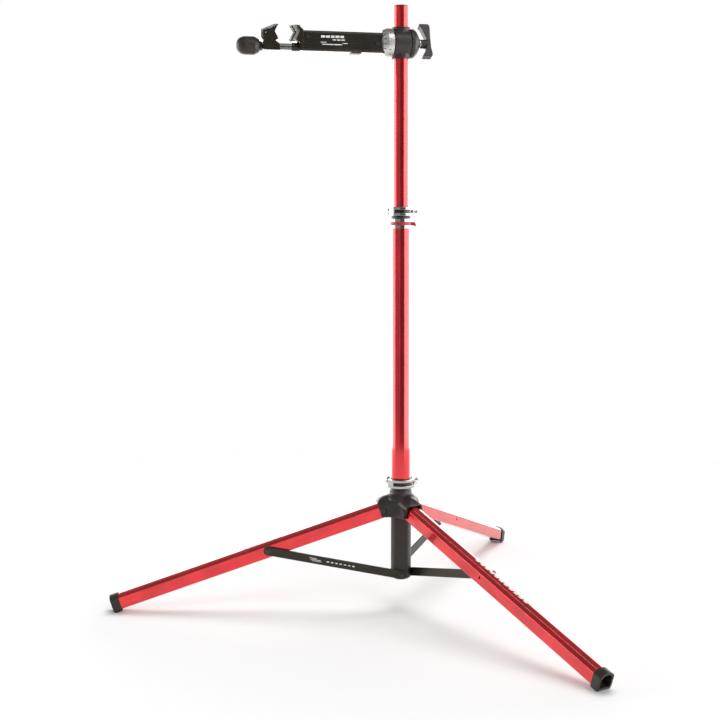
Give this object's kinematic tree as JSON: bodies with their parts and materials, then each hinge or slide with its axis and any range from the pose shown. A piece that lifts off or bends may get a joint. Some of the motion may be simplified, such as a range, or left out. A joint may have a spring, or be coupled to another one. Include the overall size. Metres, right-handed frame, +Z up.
{
  "type": "bicycle repair stand",
  "caption": "Folding tripod work stand with a telescopic mast, a sliding hub, strut-braced legs and a turning clamp arm with a screw-fed V jaw for a bicycle tube.",
  "frame": {"origin": "on the floor, on the mast's axis, with the legs open", "axes": "+Z up the mast; the clamp arm points along -X and its tee handle along +X"},
  "size_m": [0.9917, 1.0462, 1.2286],
  "materials": {
    "red_anodised": "gloss anodised",
    "black_anodised": "satin anodised",
    "black_casting": "satin powder coat",
    "black_plastic": "moulded, fine grain",
    "black_rubber": "matt",
    "red_rubber": "matt",
    "bright_alloy": "polished",
    "satin_alloy": "bead blasted",
    "steel": "zinc plated",
    "black_steel": "black plated",
    "nylon": "natural nylon",
    "brass": "machined"
  },
  "bodies": {
    "lower_mast": {"lower_mast_tube": "red_anodised", "base_column": "black_casting", "column_plug": "black_plastic", "strut_base_screws": "black_steel", "mast_bushing": "black_plastic", "mast_ferrule": "bright_alloy", "keeper_strap": "red_rubber", "upper_collar_ring": "black_anodised", "upper_collar_skewer": "steel", "upper_collar_nut": "bright_alloy"},
    "upper_lever": {"upper_collar_lever": "bright_alloy"},
    "hub": {"hub_casting": "black_casting", "hub_bushing": "nylon", "leg_root_bolts": "black_steel", "leg_root_nuts": "black_steel", "lower_collar_ring": "black_anodised", "lower_collar_skewer": "steel", "lower_collar_nut": "bright_alloy"},
    "lower_lever": {"lower_collar_lever": "bright_alloy"},
    "mast_glide": {"mast_glide": "nylon"},
    "upper_mast": {"upper_mast_tube": "red_anodised", "mast_top_cap": "black_plastic", "head_casting": "black_casting", "head_end_cap": "black_plastic", "head_cross_pin": "black_steel"},
    "handle_washer": {"handle_washer": "steel"},
    "tee_handle": {"tee_handle": "black_casting", "handle_nut": "brass"},
    "arm": {"index_dome": "satin_alloy", "arm_tube": "black_anodised", "arm_screws": "black_steel", "tension_rod": "steel", "inner_jaw_body": "black_anodised", "inner_jaw_core": "satin_alloy", "inner_jaw_pads": "black_rubber", "latch_spring": "steel"},
    "release_button": {"release_button": "black_plastic", "latch_plate": "steel"},
    "slide_bar": {"slide_bar": "steel"},
    "outer_jaw": {"outer_jaw_body": "black_anodised", "outer_jaw_core": "satin_alloy", "outer_jaw_pads": "black_rubber", "jaw_rivet": "steel"},
    "clamp_knob": {"clamp_knob": "black_plastic", "knob_nut": "brass"},
    "left_leg": {"left_leg_tube": "red_anodised", "left_leg_sleeves": "red_anodised", "left_foot_cap": "black_plastic"},
    "left_strut": {"left_strut_bar": "black_anodised", "left_strut_pivot": "black_steel"},
    "front_leg": {"front_leg_tube": "red_anodised", "front_leg_sleeves": "red_anodised", "front_foot_cap": "black_plastic"},
    "front_strut": {"front_strut_bar": "black_anodised", "front_strut_pivot": "black_steel"},
    "rear_leg": {"rear_leg_tube": "red_anodised", "rear_leg_sleeves": "red_anodised", "rear_foot_cap": "black_plastic"},
    "rear_strut": {"rear_strut_bar": "black_anodised", "rear_strut_pivot": "black_steel"}
  },
  "joints": [
    {"name": "hub_slide", "type": "slide", "parent": "lower_mast", "child": "hub", "axis": [0, 0, 1], "range_m": [0, 0.39621]},
    {"name": "left_leg_fold", "type": "hinge", "parent": "hub", "child": "left_leg", "pos_m": [-0.03751, 0.00607, 0.2045], "axis": [-0.1599, -0.9871, 0], "range_deg": [0, 71.5]},
    {"name": "left_strut_fold", "type": "hinge", "parent": "lower_mast", "child": "left_strut", "pos_m": [0, 0, 0.0685], "axis": [-0.1599, -0.9871, 0], "range_deg": [-70.85, 0]},
    {"name": "front_leg_fold", "type": "hinge", "parent": "hub", "child": "front_leg", "pos_m": [0.01349, -0.03552, 0.2045], "axis": [0.9348, 0.3551, 0], "range_deg": [0, 71.5]},
    {"name": "front_strut_fold", "type": "hinge", "parent": "lower_mast", "child": "front_strut", "pos_m": [0, 0, 0.0685], "axis": [0.9348, 0.3551, 0], "range_deg": [-70.85, 0]},
    {"name": "rear_leg_fold", "type": "hinge", "parent": "hub", "child": "rear_leg", "pos_m": [0.02402, 0.02945, 0.2045], "axis": [-0.7749, 0.632, 0], "range_deg": [0, 71.5]},
    {"name": "rear_strut_fold", "type": "hinge", "parent": "lower_mast", "child": "rear_strut", "pos_m": [0, 0, 0.0685], "axis": [-0.7749, 0.632, 0], "range_deg": [-70.85, 0]},
    {"name": "upper_lever_swing", "type": "hinge", "parent": "lower_mast", "child": "upper_lever", "pos_m": [0.03061, 0.0192, 0.82], "axis": [0, 0, 1], "range_deg": [0, 150]},
    {"name": "lower_lever_swing", "type": "hinge", "parent": "hub", "child": "lower_lever", "pos_m": [0.03446, 0.02197, 0.2605], "axis": [0, 0, 1], "range_deg": [0, 150]},
    {"name": "mast_slide", "type": "slide", "parent": "lower_mast", "child": "mast_glide", "axis": [0, 0, 1], "range_m": [-0.09, 0.367]},
    {"name": "mast_swivel", "type": "hinge", "parent": "mast_glide", "child": "upper_mast", "pos_m": [0, 0, 0.366], "axis": [0, 0, 1], "continuous": true},
    {"name": "clutch_release", "type": "slide", "parent": "upper_mast", "child": "handle_washer", "axis": [1, 0, 0], "range_m": [0, 0.00225]},
    {"name": "handle_turn", "type": "hinge", "parent": "handle_washer", "child": "tee_handle", "pos_m": [0.045, 0, 1.1545], "axis": [1, 0, 0], "range_deg": [0, 540.5]},
    {"name": "arm_turn", "type": "hinge", "parent": "upper_mast", "child": "arm", "pos_m": [-0.1, 0, 1.1545], "axis": [1, 0, 0], "continuous": true},
    {"name": "release_press", "type": "slide", "parent": "arm", "child": "release_button", "axis": [0, 0, 1], "range_m": [0, 0.002], "stiffness_N_per_m": 600, "springref_m": -0.003, "deforming": ["latch_spring"]},
    {"name": "bar_slide", "type": "slide", "parent": "arm", "child": "slide_bar", "axis": [-1, 0, 0], "range_m": [-0.013, 0.03]},
    {"name": "jaw_feed", "type": "slide", "parent": "slide_bar", "child": "outer_jaw", "axis": [1, 0, 0], "range_m": [0, 0.006]},
    {"name": "knob_turn", "type": "hinge", "parent": "outer_jaw", "child": "clamp_knob", "pos_m": [-0.31, 0, 1.1415], "axis": [1, 0, 0], "range_deg": [0, 1440.5]}
  ],
  "couplings": [
    {"joint": "left_leg_fold", "follows": "hub_slide", "rad_per_m": 3.1496},
    {"joint": "left_strut_fold", "follows": "hub_slide", "rad_per_m": -3.1208},
    {"joint": "front_leg_fold", "follows": "hub_slide", "rad_per_m": 3.1496},
    {"joint": "front_strut_fold", "follows": "hub_slide", "rad_per_m": -3.1208},
    {"joint": "rear_leg_fold", "follows": "hub_slide", "rad_per_m": 3.1496},
    {"joint": "rear_strut_fold", "follows": "hub_slide", "rad_per_m": -3.1208},
    {"joint": "handle_turn", "follows": "clutch_release", "rad_per_m": 4188.8},
    {"joint": "knob_turn", "follows": "jaw_feed", "rad_per_m": 4188.8}
  ]
}
